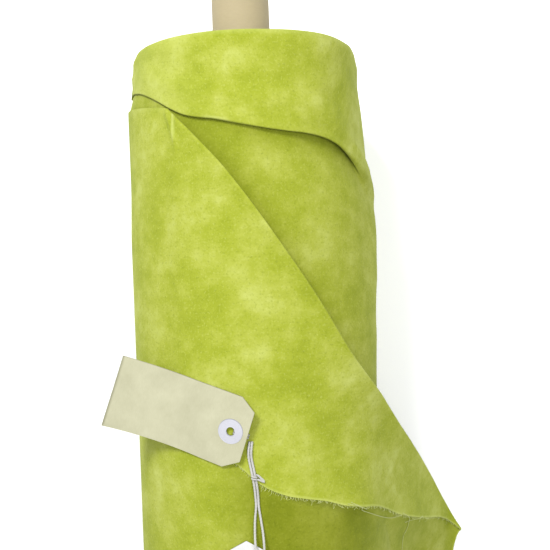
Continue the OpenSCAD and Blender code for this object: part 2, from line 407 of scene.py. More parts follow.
def swell(a, y):
    """Slack in the outer turn: a bulge down its right side, and soft ridges on the band."""
    band = smooth(y, 598 * MM, 640 * MM)
    side = smooth(a, 62 - 34 * band, 82) * smooth(a, 160, 115)
    h = side * swell_y(y / MM) * MM
    h += smooth(a, -48, -75) * left_swell_y(y / MM) * MM
    # the cloth draws in over its last few millimetres, and in a hollow under the lip
    h -= 0.9 * MM * smooth(END_Y - y, 7 * MM, 0)
    under_lip = lip_y(a) - y
    hollow = smooth(under_lip, 26 * MM, 4 * MM) * smooth(under_lip, -12 * MM, -4 * MM)
    h -= 3.2 * MM * bump(a, 46, 24) * hollow
    # two faint ridges round the band, then uneven slack
    h += 0.5 * MM * bump(a, 48, 22) * bump(y - 663 * MM - 0.05 * MM * a, 0, 2.2 * MM)
    h += 0.35 * MM * bump(a, 38, 20) * bump(y - 686 * MM, 0, 1.8 * MM)
    arc = a * 1.5 * MM        # a degree is about 1.5 mm round the roll
    h += 0.35 * MM * band * soft_noise(arc, y, 16 * MM, 31)
    h += 0.30 * MM * (soft_noise(arc, y, 42 * MM, 32) - 1) * smooth(np.abs(a - 10), 20, 40)
    return h


def signed_angle(a):
    """The same angle between -90 and 270, as end_y takes it."""
    return (np.asarray(a, float) + 90) % 360 - 90


def wound_end(side):
    """One end of the tight spiral: a grid of points, along the spiral and across its layer."""
    inner = max(TAPE_R, TUBE_R)
    turns = (TIGHT_R - inner) / PITCH
    steps = int(round((turns - 1) * COLUMNS))
    turn = np.arange(steps + 1) / COLUMNS
    layer_in = soft_noise(turn * 1.7, turn * 0, 1, 11 + side) * 0.7 * MM
    layer_in += soft_noise(turn * 0.12, turn * 0, 1, 13 + side) * 1.2 * MM
    across = np.array([0, 0.22, 0.78, 1])
    crest = np.array([0, 1, 1, 0])
    r = inner + PITCH * (turn[:, None] + across[None, :])
    angle = 360 * turn[:, None] + 0 * r
    x, z = around(r, angle, (0, 0))
    low = smooth(r, 0.4 * TIGHT_R, TIGHT_R) * smooth(-z / r, 0.75, 1)
    squeeze = np.where(z < 0, 1 + (TIGHT_FLAT / -TIGHT_R - 1) * low, 1)
    at_side = smooth(r, TIGHT_R - 9 * MM, TIGHT_R) * smooth(np.abs(x) / r, 0.6, 0.9)
    drawn_in = (END_Y - end_y(signed_angle(angle))) * at_side
    y = END_Y - 2.6 * MM + crest[None, :] * (0.9 * MM + layer_in[:, None]) - drawn_in
    return np.stack([x, side * y, z * squeeze], -1)


def grid_arc(a, r):
    """Length along a spiral of radius r at the angles a."""
    return np.concatenate([[0], np.cumsum(np.radians(np.diff(a)) * (r[1:] + r[:-1]) / 2)])


def slack_turns():
    """The three slack turns between the tight mass and the loose turn, as one spiral sheet."""
    first, last, step = TURN_FROM - 360 * SLACK_TURNS, TURN_FROM, 4
    a = np.arange(first, last + step, step, dtype=float)
    share = (a - first) / (last - first)
    r = TIGHT_R + CLOTH_T + share * (TURN_R - TIGHT_R - CLOTH_T)
    rest = TIGHT_FLAT - CLOTH_T + share * (FLOOR_Z + LAYER - TIGHT_FLAT + CLOTH_T)
    x = CENTRE[0] * share + r * np.sin(np.radians(a))
    z = CENTRE[1] * share + r * np.cos(np.radians(a))
    drift = soft_noise(a / 80, a * 0, 1, 21) * 1.1 * MM
    drawn_in = END_Y - end_y(signed_angle(a)) + 5 * MM * smooth(np.sin(np.radians(a)), 0.3, 1)
    across = np.concatenate([np.linspace(-1, -0.9, 6), np.linspace(-0.8, 0.8, 9),
                             np.linspace(0.9, 1, 6)])
    half = END_Y - 2 * MM
    y = across[None, :] * half + (drift - drawn_in)[:, None] * across[None, :]
    fray = soft_noise(a[:, None] / 3, across[None, :] * 9, 1, 22) * 0.25 * MM * (np.abs(across) > 0.85)
    # each turn follows the outer turn's swell, and keeps inside it
    follow = share[:, None] * (swell(signed_angle(a)[:, None] + 0 * y, y) - 0.4 * MM)
    x = x[:, None] + follow * np.sin(np.radians(a))[:, None]
    z = np.maximum(z[:, None] + follow * np.cos(np.radians(a))[:, None], rest[:, None])
    return np.stack([x, y + fray, z], -1), grid_arc(a, r)


def wound_piece():
    """The tight mass, closed from end to end, with the spiral of its layers on both ends."""
    far, near = wound_end(1), wound_end(-1)
    n, m = far.shape[:2]
    verts = np.concatenate([far.reshape(-1, 3), near.reshape(-1, 3)])
    top = np.arange(n * m).reshape(n, m)
    low = top + n * m

    def wall(a, b):
        return np.stack([a[:-1], b[:-1], b[1:], a[1:]], -1)

    faces = np.concatenate([
        quads(top), quads(low)[:, ::-1],
        wall(low[:COLUMNS + 1, 0], top[:COLUMNS + 1, 0]), wall(top[0], low[0]),
        wall(top[-COLUMNS - 1:, -1], low[-COLUMNS - 1:, -1]), wall(low[-1], top[-1])])
    spiral = np.arange(n)[:, None] / COLUMNS * 2 * math.pi * 0.5 * (TUBE_R + TIGHT_R) + np.zeros((1, m))
    flat = np.stack([np.concatenate([spiral, spiral]).ravel(), verts[:, 1]], -1)
    flat[:, 1] += np.tile(np.arange(m) * PITCH, 2 * n)
    sheet, arc = slack_turns()
    slack = cloth_arrays(sheet, arc[:, None] + 0 * sheet[..., 1], sheet[..., 1])
    pale = np.concatenate([np.full(len(verts), WORN / 2), slack[3]])
    obj = new_mesh("wound_roll", np.concatenate([verts, slack[0]]),
                   [*faces[:, ::-1], *(slack[1] + len(verts))],
                   np.concatenate([flat, slack[2]]), pale, slack[4] + len(verts))
    weld(obj, 0.01 * MM)
    return obj


wound_roll = wound_piece()
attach(wound_roll, "roll")
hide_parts("wound_cloth")


# Edges of the loose end -------------------------------------------------------------------

fold_curve = curve(FOLD)
cut_at = curve(CUT)       # Y of the turned corner's cut edge


def fold_at(x):
    """Y of the diagonal fold, and of the loose end's edge left of the fold's apex."""
    left = np.interp(x, TOP_EDGE[:, 0], TOP_EDGE[:, 1])
    return np.where(x > APEX[0], fold_curve(x), left)


# Outer turn, with the pleat near its end --------------------------------------------------

# The pleat, by angle: how far it is folded, from 0 to 1, and then in millimetres how high its
# lip stands, how far the cloth tucks in behind the lip, and the radius of the lip's roll
pleat_amount = curve([
    (-160, 0), (-97, 0), (-84, 0.6), (-72, 1), (-60, 1), (30, 1), (42, 0.97), (52, 0.7),
    (61, 0.32), (71, 0.06), (80, 0), (100, 0), (260, 0)])
lip_height = curve([
    (-160, 0), (-100, 0.1), (-85, 0.4), (-70, 1.2), (-55, 1.8), (-40, 2.4), (-14, 2.8), (0, 3.0),
    (25, 4.0), (42, 5.0), (55, 4.8), (66, 4.0), (78, 2.6), (90, 1.2), (105, 0), (120, 0), (260, 0)])
tuck_length = curve([
    (-160, 3), (-95, 3), (-60, 8), (-20, 12), (10, 15), (45, 14), (70, 9), (92, 5), (260, 5)])
lip_roll = curve([
    (-160, 0.9), (-60, 0.9), (-22, 0.9), (-9, 1.3), (6, 0.9), (45, 0.9), (65, 1.5), (260, 1.6)])
TUCK_ROLL = 0.15 * MM     # radius of the fold at the tuck's inner end
LIP_TO_END = 2.5 * MM     # the least between the lip and the cloth's edge
STEP = 17 * MM            # how far below the lip the cloth starts to rise where it isn't folded
TURN_START_Y = -699 * MM  # where the turn begins
TURN_FINE_Y = 300 * MM    # where its rows close up


TUCK_PHI = np.radians(np.linspace(-90, 90, 7))[None, 1:]
TUCK_RUN = np.linspace(0, 1, 8)[None, 1:]
LIP_PHI = np.radians(np.linspace(-90, -270, 13))[None, 1:]


def pleat_section(lip, inner, height, roll, folded):
    """Y and height of the pleat's Z at each angle: its inner fold, the tucked layer back to the
    lip, and the lip. Where it fades out the cloth lies open, as a soft step up to the lip."""
    y = np.concatenate([inner + TUCK_ROLL * np.cos(TUCK_PHI),
                        inner + (lip + roll - inner) * TUCK_RUN,
                        (lip + roll) + roll * np.cos(LIP_PHI)], 1)
    h = np.concatenate([0 * inner + TUCK_ROLL * (1 + np.sin(TUCK_PHI)),
                        2 * TUCK_ROLL + (height - 2 * roll - 2 * TUCK_ROLL) * TUCK_RUN,
                        (height - roll) + roll * np.sin(LIP_PHI)], 1)
    t = np.linspace(0, 1, y.shape[1] + 1)[None, 1:]
    y_open = (lip - STEP) + (STEP + 2 * MM) * t
    h_open = height * smooth(t, 0, 1)
    return y_open + (y - y_open) * folded, h_open + (h - h_open) * folded


def turn_tone(a, x, y, past_lip, crest, amount):
    """How pale the outer turn is. past_lip and crest are 1 on the band and on the lip's crest."""
    lip, end, angle = lip_y(a)[:, None], end_y(a)[:, None], a[:, None] + 0 * y
    lip = np.minimum(lip, end - LIP_TO_END)
    soft = smooth(y - lip, -16 * MM, 30 * MM)
    wear_and_shade = soft + (past_lip - soft) * amount
    # a painted highlight along part of the lip's crest
    pale = 0.85 * crest * bump(a, -13, 9)[:, None] * amount
    # a base paleness, a little more on the band, and painted light that makes the band paler on its left
    # side
    pale = np.maximum(pale, WORN * (0.9 + 0.1 * wear_and_shade) + 0.1 * wear_and_shade * smooth(a, -10, -50)[:, None])
    pale = np.maximum(pale, smooth(end - y, 1.6 * MM, 0) * 0.7)
    # a deeper tone beside the fold and below the lip, in place of the soft shade that a real
    # room gives there and this light doesn't
    on_top = smooth(np.abs(angle), 100, 70)
    from_fold = np.abs(y - fold_at(np.clip(x, APEX[0], FOOT_X)))
    beside_fold = np.exp(-from_fold / (17 * MM)) * on_top
    beside_fold = beside_fold * smooth(x, APEX[0] - 8 * MM, APEX[0] + 12 * MM)
    below_lip = np.exp(-np.abs(lip_y(angle) - y) / (9 * MM)) * (1 - wear_and_shade)
    below_lip = below_lip * smooth(angle, -70, 10) * on_top
    return pale - 0.9 * pale * (1 - wear_and_shade) * np.maximum(beside_fold, below_lip)


def outer_turn_grid():
    """The outer turn's face, round the roll and along it, and how pale it is at each point."""
    a = np.arange(TURN_FROM, TURN_TO + 1, 1.5)
    end, amount = end_y(a), np.clip(pleat_amount(a), 0, 1)
    height = np.maximum(lip_height(a), 0) * MM
    roll = np.maximum(np.minimum(lip_roll(a) * MM, (height - 2 * TUCK_ROLL) / 2), 0.02 * MM)
    lip = np.minimum(lip_y(a), end - LIP_TO_END)
    inner = np.minimum(lip + tuck_length(a) * MM, end - 3 * MM)
    folded = amount[:, None]
    y_z, h_z = pleat_section(lip[:, None], inner[:, None], height[:, None], roll[:, None], folded)
    # below the pleat, along the roll
    start = (lip - STEP) + (inner - lip + STEP) * amount
    y_c = rows_along(TURN_START_Y, TURN_FINE_Y, start, 0.22, 22, 84)
    h_c = 0 * y_c
    # the band, out to the roll's end
    t = (np.linspace(0, 1, 22) ** 1.25)[None, 1:]
    y_a = y_z[:, -1:] + (end[:, None] - y_z[:, -1:]) * t
    over = (y_a - np.maximum(inner, lip)[:, None]) / STEP
    laid = np.minimum(height, (2 * TUCK_ROLL + 2.05 * CLOTH_T))[:, None] * folded
    down_to = np.maximum(inner, lip + (4 + 26 * (1 - amount)) * MM)[:, None]
    slope = height[:, None] + (laid - height[:, None]) * smooth(y_a, (lip + roll)[:, None], down_to)
    h_a = slope * (1 - smooth(over, 0.05, 1))
    y = np.concatenate([y_c, y_z, y_a], 1)
    h = np.concatenate([h_c, h_z, h_a], 1)
    # the lip's crest gets a painted highlight, and the band past it is more worn than the cloth below it
    on_lip = LIP_PHI.shape[1]
    dyed = 0 * np.concatenate([y_c, y_z[:, :-on_lip]], 1)
    lip_rows = 0 * y_z[:, -on_lip:]
    crest = np.concatenate([dyed, smooth(np.sin(LIP_PHI), -0.2, 0.9) + lip_rows,
                            bump(y_a, (lip + roll)[:, None], 1.6 * MM)], 1)
    past_lip = np.concatenate([dyed, smooth(np.sin(LIP_PHI), -0.6, 0.9) + lip_rows, 1 + 0 * y_a], 1)
    angle = a[:, None] + 0 * y
    out = (SHEET_R - TURN_R) * smooth(angle, 95, 150)
    r = TURN_R + h + out + swell(angle, y)
    x, z = around(r, angle)
    z = np.maximum(z, FLOOR_Z + LAYER * (1 - smooth(angle, 95, 150)) + h)
    return np.stack([x, y, z], -1), turn_tone(a, x, y, past_lip, crest, folded)


turn_face, turn_pale = outer_turn_grid()
turn_flat_v = grid_lengths(turn_face, 1)
turn_flat_u = grid_lengths(turn_face, 0)[:, :1] + 0 * turn_flat_v
outer_turn = new_mesh("outer_turn", *cloth_arrays(turn_face, turn_flat_u, turn_flat_v, turn_pale))
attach(outer_turn, "roll")
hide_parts("loose_turn", "pleated_edge", "last_turn")


# The loose end's path in section ----------------------------------------------------------

def drape_table():
    """The upper face of the loose end in section: length s, then X, Z and the outward normal."""
    a = np.arange(SHEET_A, LEAVE_A + 0.01, 0.5)
    x, z = around(SHEET_R, a)
    rows = [np.stack([x, z, np.sin(np.radians(a)), np.cos(np.radians(a))], -1)]
    foot = np.array([FOOT_X, FLOOR_Z + FOOT_R])
    inner_r = FOOT_R - CLOTH_T
    b = np.arange(180 + LEAVE_A, 179.9, -2.0)
    fx, fz = around(inner_r, b, foot)
    start = rows[0][-1]
    t = np.linspace(0, 1, 60)[1:-1]
    n = start[2:]
    rows.append(np.stack([start[0] + (fx[0] - start[0]) * t, start[1] + (fz[0] - start[1]) * t,
                          n[0] + 0 * t, n[1] + 0 * t], -1))
    rows.append(np.stack([fx, fz, -np.sin(np.radians(b)), -np.cos(np.radians(b))], -1))
    tail = np.linspace(0, 12 * MM, 5)[1:]
    rows.append(np.stack([FOOT_X + tail, fz[-1] + 0 * tail, 0 * tail, 1 + 0 * tail], -1))
    table = np.concatenate(rows)
    s = np.concatenate([[0], np.cumsum(np.linalg.norm(np.diff(table[:, :2], axis=0), axis=1))])
    return s, table


DRAPE_S, DRAPE = drape_table()
FIRST_RISE = int(np.argmin(DRAPE[:, 0]))     # the leftmost point; X grows from here on


def s_at_x(x):
    """Length along the drape where its X is x, past the leftmost point."""
    return np.interp(x, DRAPE[FIRST_RISE:, 0], DRAPE_S[FIRST_RISE:])


S_FOOT = float(s_at_x(FOOT_X))
S_LEAVE = float(s_at_x(around(SHEET_R, LEAVE_A)[0]))
S_APEX = float(s_at_x(APEX[0]))


def on_drape(s, y, lift):
    """Points above the drape's upper face, at length s along it, at y, and lift along its normal."""
    x, z, nx, nz = (np.interp(s, DRAPE_S, DRAPE[:, k]) for k in range(4))
    return np.stack([x + nx * lift, y + 0 * x, z + nz * lift], -1)


def past_tail(s, y):
    """s moved near the foot, so that the cut tail wanders as tail_x says."""
    return s + tail_x(y) * smooth(s, S_FOOT - 40 * MM, S_FOOT)


def stand(x, y):
    """How far both layers stand off the roll beside the fold."""
    off = fold_at(x) - y
    along = smooth(x, -44 * MM, 58 * MM) * smooth(x, 142 * MM, 84 * MM)
    return FOLD_STAND * along * np.exp(-np.maximum(off, 0) / (34 * MM))


def sheet_lift(s, x, y):
    """The loose end's own waves: slack below the turned corner and along the tail."""
    below = smooth(cut_at(np.clip(x, -54 * MM, FOOT_X)) - y, -6 * MM, 30 * MM)
    right = smooth(x, 34 * MM, 70 * MM)
    h = stand(x, y)
    slope = smooth(s, S_LEAVE, S_LEAVE + 30 * MM) * smooth(s, S_FOOT - 4 * MM, S_FOOT - 70 * MM)
    h -= 10 * MM * slope * below
    waves = 1.5 * MM * np.sin(x / MM / 8.5 + y / MM / 40 + 0.6)
    waves += 1.1 * MM * np.sin(x / MM / 15 - y / MM / 26)
    h += waves * below * right * smooth(s, S_FOOT + 2 * MM, S_FOOT - 25 * MM)
    far = smooth(y, 330 * MM, 260 * MM) * 1.4 * MM * (0.7 + soft_noise(x, y, 55 * MM, 41))
    far *= smooth(np.abs(s - S_LEAVE * 0.5), 20 * MM, 60 * MM)
    h += far * smooth(s, S_FOOT, S_FOOT - 30 * MM)
    left = smooth(x, -30 * MM, -70 * MM) * smooth(s, 12 * MM, 50 * MM)
    h += left * 0.35 * MM * (1 + soft_noise(s, y, 45 * MM, 42))
    h += 1.3 * MM * smooth(x, -55 * MM, -85 * MM) * smooth(y, 610 * MM, 560 * MM)
    clear = np.maximum(s - S_LEAVE, 0) ** 2 / (2 * SHEET_R)      # between the flat drape and the roll
    return np.maximum(h, -0.8 * clear)


# Loose end --------------------------------------------------------------------------------

# How far the cut tail wanders from FOOT_X, by place along the roll
tail_x = curve(np.array([
    (-697, 0), (-600, -3), (-400, 1.5), (-200, -5), (-50, 2), (100, -5), (200, -1), (260, -7),
    (300, -9), (308, -8.4), (315, -6), (319.6, -4), (324.5, -0.3)]) * MM)
END_START_Y = -697 * MM   # where the sheet begins
END_FINE_Y = 240 * MM     # where its rows close up
SIDE_TOP_Y = 668 * MM     # its upper edge where it turns under the roll's left side


def loose_end_grid():
    """The loose end's face, round the roll and along it, with its flat place and how pale it is."""
    s = np.concatenate([np.linspace(0, S_LEAVE, 110), np.linspace(S_LEAVE, S_FOOT, 62)[1:]])
    x = np.interp(s, DRAPE_S, DRAPE[:, 0])
    leftmost = int(np.argmin(x))
    under = np.arange(len(s)) < leftmost
    past = np.where(under, x.min(), x)
    top = np.where(s < S_APEX, np.interp(past, TOP_EDGE[:, 0], TOP_EDGE[:, 1]), fold_at(past))
    top = np.where(under, SIDE_TOP_Y + (1 - s / s[leftmost]) * MM, top)
    # the edge stops just short of the corner's rolled fold
    tucked = smooth(x, APEX[0], APEX[0] + 6 * MM) * smooth(x, FOOT_X, FOOT_X - 8 * MM) * (s > S_APEX)
    top = top - 1.6 * MM * tucked
    y = rows_along(END_START_Y, END_FINE_Y, top, 0.3, 30, 90)
    s2 = s[:, None] + 0 * y
    x2 = x[:, None] + 0 * y
    face = on_drape(past_tail(s2, y), y, sheet_lift(s2, x2, y))
    face[..., 2] = np.maximum(face[..., 2], FLOOR_Z + CLOTH_T)
    edge = np.maximum(smooth(top[:, None] - y, 1.8 * MM, 0) * (x2 < APEX[0]),
                      smooth(s2, S_FOOT - 1.5 * MM, S_FOOT))
    # a deeper tone below the corner's cut edge, in place of soft shade as on the outer turn
    below = cut_at(np.clip(x2, -54 * MM, FOOT_X)) - y
    deep = smooth(below, -9 * MM, 8 * MM) * smooth(x2, -34 * MM, 12 * MM)
    deep *= 1 - 0.6 * smooth(x2, 58 * MM, 92 * MM)
    return face, s2, y, np.maximum(edge * 0.6, WORN * (1 - deep))


end_face, end_s, end_yy, end_pale = loose_end_grid()
SHEET_U = turn_flat_u[-1, 0]                        # the print runs on from the outer turn
loose_end = new_mesh("loose_end", *cloth_arrays(end_face, SHEET_U + end_s, end_yy + END_Y, end_pale))
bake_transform(loose_end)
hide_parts("free_end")


# Turned-down corner -----------------------------------------------------------------------

def corner_lift(x, y):
    """The corner's height above the loose end's upper face, without the rolled fold."""
    off = fold_at(x) - y
    up = y - cut_at(x)
    h = LAYER + stand(x, y)
    puff = np.exp(-off / (9 * MM)) * smooth(off, 0, 3 * MM)
    h = h + (0.5 * MM + 1.5 * MM * smooth(x, 0, 60 * MM)) * puff
    free = smooth(x, 22 * MM, 50 * MM)
    h += 2.4 * MM * smooth(x, 0, 30 * MM) * smooth(x, 100 * MM, 62 * MM) * np.exp(-up / (14 * MM))
    ruffle = 0.5 * MM + 1.6 * MM * bump(x, 66 * MM, 12 * MM) + 1.9 * MM * bump(x, 112 * MM, 14 * MM)
    h += free * np.exp(-up / (7 * MM)) * ruffle
    h += free * 0.8 * MM * soft_noise(x, y, 34 * MM, 51) * smooth(x, FOOT_X, FOOT_X - 30 * MM)
    h -= (LAYER - 0.15 * MM) * smooth(x, -42 * MM, -53.6 * MM)
    # a short pinched ridge below the fold's upper end
    ridge_x = -45.5 * MM - 3 * MM * smooth(y, 640 * MM, 650 * MM)
    ridge_x += 2.5 * MM * smooth(y, 642 * MM, 628 * MM)
    ridge = bump(x, ridge_x, 1.3 * MM) * smooth(y, 618 * MM, 632 * MM)
    h += 1.2 * MM * ridge * smooth(y, 655 * MM, 648 * MM)
    return h


def corner_grid():
    """The turned corner's face from its cut edge over the rolled fold, and how pale it is."""
    x = np.concatenate([np.linspace(-53.6, -40, 14), np.linspace(-38.6, 80, 86),
                        np.linspace(81.4, 156, 62), np.linspace(157, 164.4, 10)]) * MM
    s = s_at_x(x)
    fold, cut = fold_at(np.maximum(x, APEX[0] + 0.1 * MM)), cut_at(x)
    cut = np.minimum(cut, fold - 1.2 * MM)
    width = np.minimum(2.3 * MM, (fold - cut) * 0.3)       # the rolled fold, measured along Y
    share = np.concatenate([np.linspace(0, 0.06, 9, endpoint=False),
                            np.linspace(0.06, 0.93, 64, endpoint=False), np.linspace(0.93, 1, 9)])
    y = cut[:, None] + (fold - width - cut)[:, None] * share[None, :]
    x2 = x[:, None] + 0 * y
    h = corner_lift(x2, y)
    top_h = h[:, -1]
    base = stand(x, fold) - CLOTH_T
    phi = np.radians(np.linspace(90, -90, 13))[None, 1:]
    mid, half = (top_h + base) / 2, (top_h - base) / 2
    y_r = (fold - width)[:, None] + width[:, None] * np.cos(phi)
    h_r = mid[:, None] + half[:, None] * np.sin(phi)
    under = np.array([0.4, 0.8])[None, :]
    y_u = (fold - width)[:, None] - under * width[:, None]
    h_u = base[:, None] + 0 * y_u
    y, h = np.concatenate([y, y_r, y_u], 1), np.concatenate([h, h_r, h_u], 1)
    s2 = s[:, None] + 0 * y
    face = on_drape(past_tail(s2, np.clip(y, 0, FOLD[-1, 1])), y, h)
    face[..., 2] = np.maximum(face[..., 2], FLOOR_Z + 2 * CLOTH_T)
    edge = np.zeros_like(y)
    laid = len(share) + 1
    edge[:, :laid] = smooth(y[:, :laid] - cut[:, None], 3.2 * MM, 0.4 * MM)
    # the pinched ridge below the fold's upper end is painted paler: a painted highlight
    ridge = bump(x[:, None] + 0 * y, -44 * MM, 1.6 * MM) * smooth(y, 622 * MM, 636 * MM)
    return face, x, np.maximum(np.maximum(edge * 0.75, ridge * 0.9), WORN)


corner_face, corner_x, corner_pale = corner_grid()
corner_v = grid_lengths(corner_face, 1)
corner_u = s_at_x(corner_x)[:, None] + 0 * corner_v
THIN = 0.12 * MM          # at its left end the corner thins, so that it lies flush
corner_thick = THIN + (CLOTH_T - THIN) * smooth(corner_x, -53.6 * MM, -42 * MM)
corner_flap = new_mesh("corner_flap", *cloth_arrays(
    corner_face, SHEET_U + corner_u, corner_v + cut_at(corner_x)[:, None] + END_Y, corner_pale,
    corner_thick[:, None, None]))

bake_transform(corner_flap)
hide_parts("corner_fold", "turned_corner")


# Frayed threads ---------------------------------------------------------------------------

LONG_THREAD_R = 0.16 * MM


def corner_point(x, y, extra=0.0):
    """A point on the turned corner's upper face."""
    x, y = np.asarray(x, float), np.asarray(y, float)
    return on_drape(s_at_x(x), y, corner_lift(x, np.maximum(y, cut_at(x))) + extra)


def sheet_point(x, y, extra=0.0):
    """A point on the loose end's upper face."""
    x, y = np.asarray(x, float), np.asarray(y, float)
    return on_drape(s_at_x(x), y, sheet_lift(s_at_x(x), x, y) + extra)


def long_thread(first, hanging, last=()):
    """A pulled thread that starts on the corner, hangs over the loose end and may end on the
    corner again. Each point is (x, distance past the cut edge, height), in millimetres."""
    def points(kind, places):
        return [kind(x * MM, float(cut_at(x * MM)) + past * MM, up * MM) for x, past, up in places]

    route = points(corner_point, first) + points(sheet_point, hanging) + points(corner_point, last)
    return smooth_route(route, 0.8 * MM), LONG_THREAD_R, dict(sides=6)


def corner_threads():
    """Short threads along the corner's cut edge, and the long ones."""
    routes = []
    for x in np.linspace(-40, 163, 330) * MM:
        x = x + rng.uniform(-0.3, 0.3) * MM
        y = float(cut_at(x))
        reach = rng.uniform(0.5, 2.6) * MM * (1.8 if rng.random() < 0.08 else 1)
        lean = rng.normal(0, 0.55)
        start = corner_point(x, y + 0.4 * MM, -0.35 * MM)
        knee = start + np.array([lean * 0.4, -0.6, 0]) * reach
        tip = start + np.array([lean, -1, rng.uniform(-0.4, 0.1)]) * reach
        radius = rng.uniform(0.07, 0.13) * MM
        routes.append((smooth_route([start, knee, tip], 0.6 * MM), radius, dict(sides=4)))
    # longer threads pulled out along the edge: a sagging loop, a short one, a hanging end and
    # one that crosses it
    routes.append(long_thread(
        [(58, 2.5, 0.3), (64, -0.4, 0.3)],
        [(68, -3.2, 1.6), (76, -5.6, 0.6), (86, -6.2, 0.6), (94, -4.0, 1.4)], [(99, -0.2, 0.3)]))
    routes.append(long_thread([(56, 1.2, 0.5), (61, 0.6, 0.4), (67, -1.4, 0.5)], [(70, -2.6, 1.2)]))
    routes.append(long_thread(
        [(100, 1.5, 0.4), (105, -0.8, 0.4)],
        [(110, -3.4, 1.2), (111.5, -9, 0.5), (110.5, -16, 0.5), (112, -24, 0.5), (111, -33, 0.5)]))
    routes.append(long_thread([(119, 1.0, 0.4), (115, -0.8, 0.4)],
                              [(111, -3.2, 1.2), (107.5, -5.0, 0.6)]))
    return routes


fray = tubes_piece("corner_fray", corner_threads())
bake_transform(fray)


def tail_threads():
    """Short threads along the tail's cut edge, which lie on the floor."""
    routes = []
    for y in np.arange(-694, 319, 2.1) * MM:
        y = y + rng.uniform(-0.8, 0.8) * MM
        s = S_FOOT + float(tail_x(y))
        reach = rng.uniform(0.6, 2.8) * MM
        lean = rng.normal(0, 0.5)
        start = on_drape(s - 0.3 * MM, y, -0.35 * MM)
        tip = start + np.array([1, lean, 0]) * reach
        tip[2] = FLOOR_Z + rng.uniform(0.15, 0.5) * MM
        knee = (start + tip) / 2 + np.array([0, 0, 0.1 * MM])
        radius = rng.uniform(0.07, 0.12) * MM
        routes.append((smooth_route([start, knee, tip], 0.8 * MM), radius, dict(sides=4)))
    return routes


tail_fray = tubes_piece("tail_fray", tail_threads())
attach(tail_fray, "free_end")


# Tags -------------------------------------------------------------------------------------

TAG_L, TAG_W, TAG_T = 92.5 * MM, 47 * MM, 0.4 * MM
CHAMFER_L, CHAMFER_W = 10 * MM, 7 * MM
HOLE_AT, HOLE_R = 11 * MM, 2.7 * MM
PATCH_R, PATCH_T = 8 * MM, 0.2 * MM

STOCK_AT = np.array([-3.7, 440.7]) * MM
STOCK_TURN = 161
STOCK_R = FLAP_R + LAYER - CLOTH_T + 0.2 * MM
STOCK_CONTACT, STOCK_DIP, STOCK_CURL = -22, -28, 75 * MM
PRICE_TILT = 11
PRICE_AT = np.array([16.2, 357.2]) * MM
PRICE_TURN = 243.6
PRICE_R = SHEET_R + CLOTH_GAP + 0.2 * MM


def stock_profile():
    """The stock tag's lower face in section, as X and Z from left to right."""
    curl = np.array(around(STOCK_R + STOCK_CURL, STOCK_DIP))
    cx, cz = around(STOCK_CURL, np.arange(218, 180 + STOCK_DIP, -1.0), curl)
    tx, tz = around(STOCK_R, np.arange(STOCK_DIP, STOCK_CONTACT + 0.1, 1.0))
    t = math.radians(STOCK_CONTACT)
    run = np.array([20, 40]) * MM
    return (np.concatenate([cx, tx, tx[-1] + run * math.cos(t)]),
            np.concatenate([cz, tz, tz[-1] - run * math.sin(t)]))


STOCK_X, STOCK_Z = stock_profile()


def place_stock(l, w, h):
    """A stock tag point: l along the tag from its end, w across it, h above its lower face."""
    c, s = math.cos(math.radians(STOCK_TURN)), math.sin(math.radians(STOCK_TURN))
    x = STOCK_AT[0] + l * c - w * s
    y = STOCK_AT[1] + l * s + w * c
    slope = (np.interp(x + MM, STOCK_X, STOCK_Z) - np.interp(x - MM, STOCK_X, STOCK_Z)) / (2 * MM)
    n = 1 / np.sqrt(1 + slope**2)
    return np.stack([x - h * slope * n, y, np.interp(x, STOCK_X, STOCK_Z) + h * n], -1)


def place_price(l, w, h):
    """The same for the price tag, whose plane leans on the roll."""
    c, s = math.cos(math.radians(PRICE_TURN)), math.sin(math.radians(PRICE_TURN))
    u = PRICE_AT[0] + (l - HOLE_AT) * c - w * s
    v = PRICE_AT[1] + (l - HOLE_AT) * s + w * c
    ct, st = math.cos(math.radians(PRICE_TILT)), math.sin(math.radians(PRICE_TILT))
    out = PRICE_R + h
    return np.stack([CENTRE[0] + u * ct - out * st, v + 0 * u, CENTRE[1] + u * st + out * ct], -1)


def tag_rim(samples):
    """Points round a tag's outline, corners kept, as seen from its hole."""
    corners = np.array([[0, -TAG_W / 2 + CHAMFER_W], [CHAMFER_L, -TAG_W / 2], [TAG_L, -TAG_W / 2],
                        [TAG_L, TAG_W / 2], [CHAMFER_L, TAG_W / 2], [0, TAG_W / 2 - CHAMFER_W]])
    points = []
    total = np.linalg.norm(np.roll(corners, -1, 0) - corners, axis=1).sum()
    for a, b in zip(corners, np.roll(corners, -1, 0)):
        n = max(2, int(round(samples * np.linalg.norm(b - a) / total)))
        points.extend(a + (b - a) * t for t in np.linspace(0, 1, n, endpoint=False))
    return np.array(points)


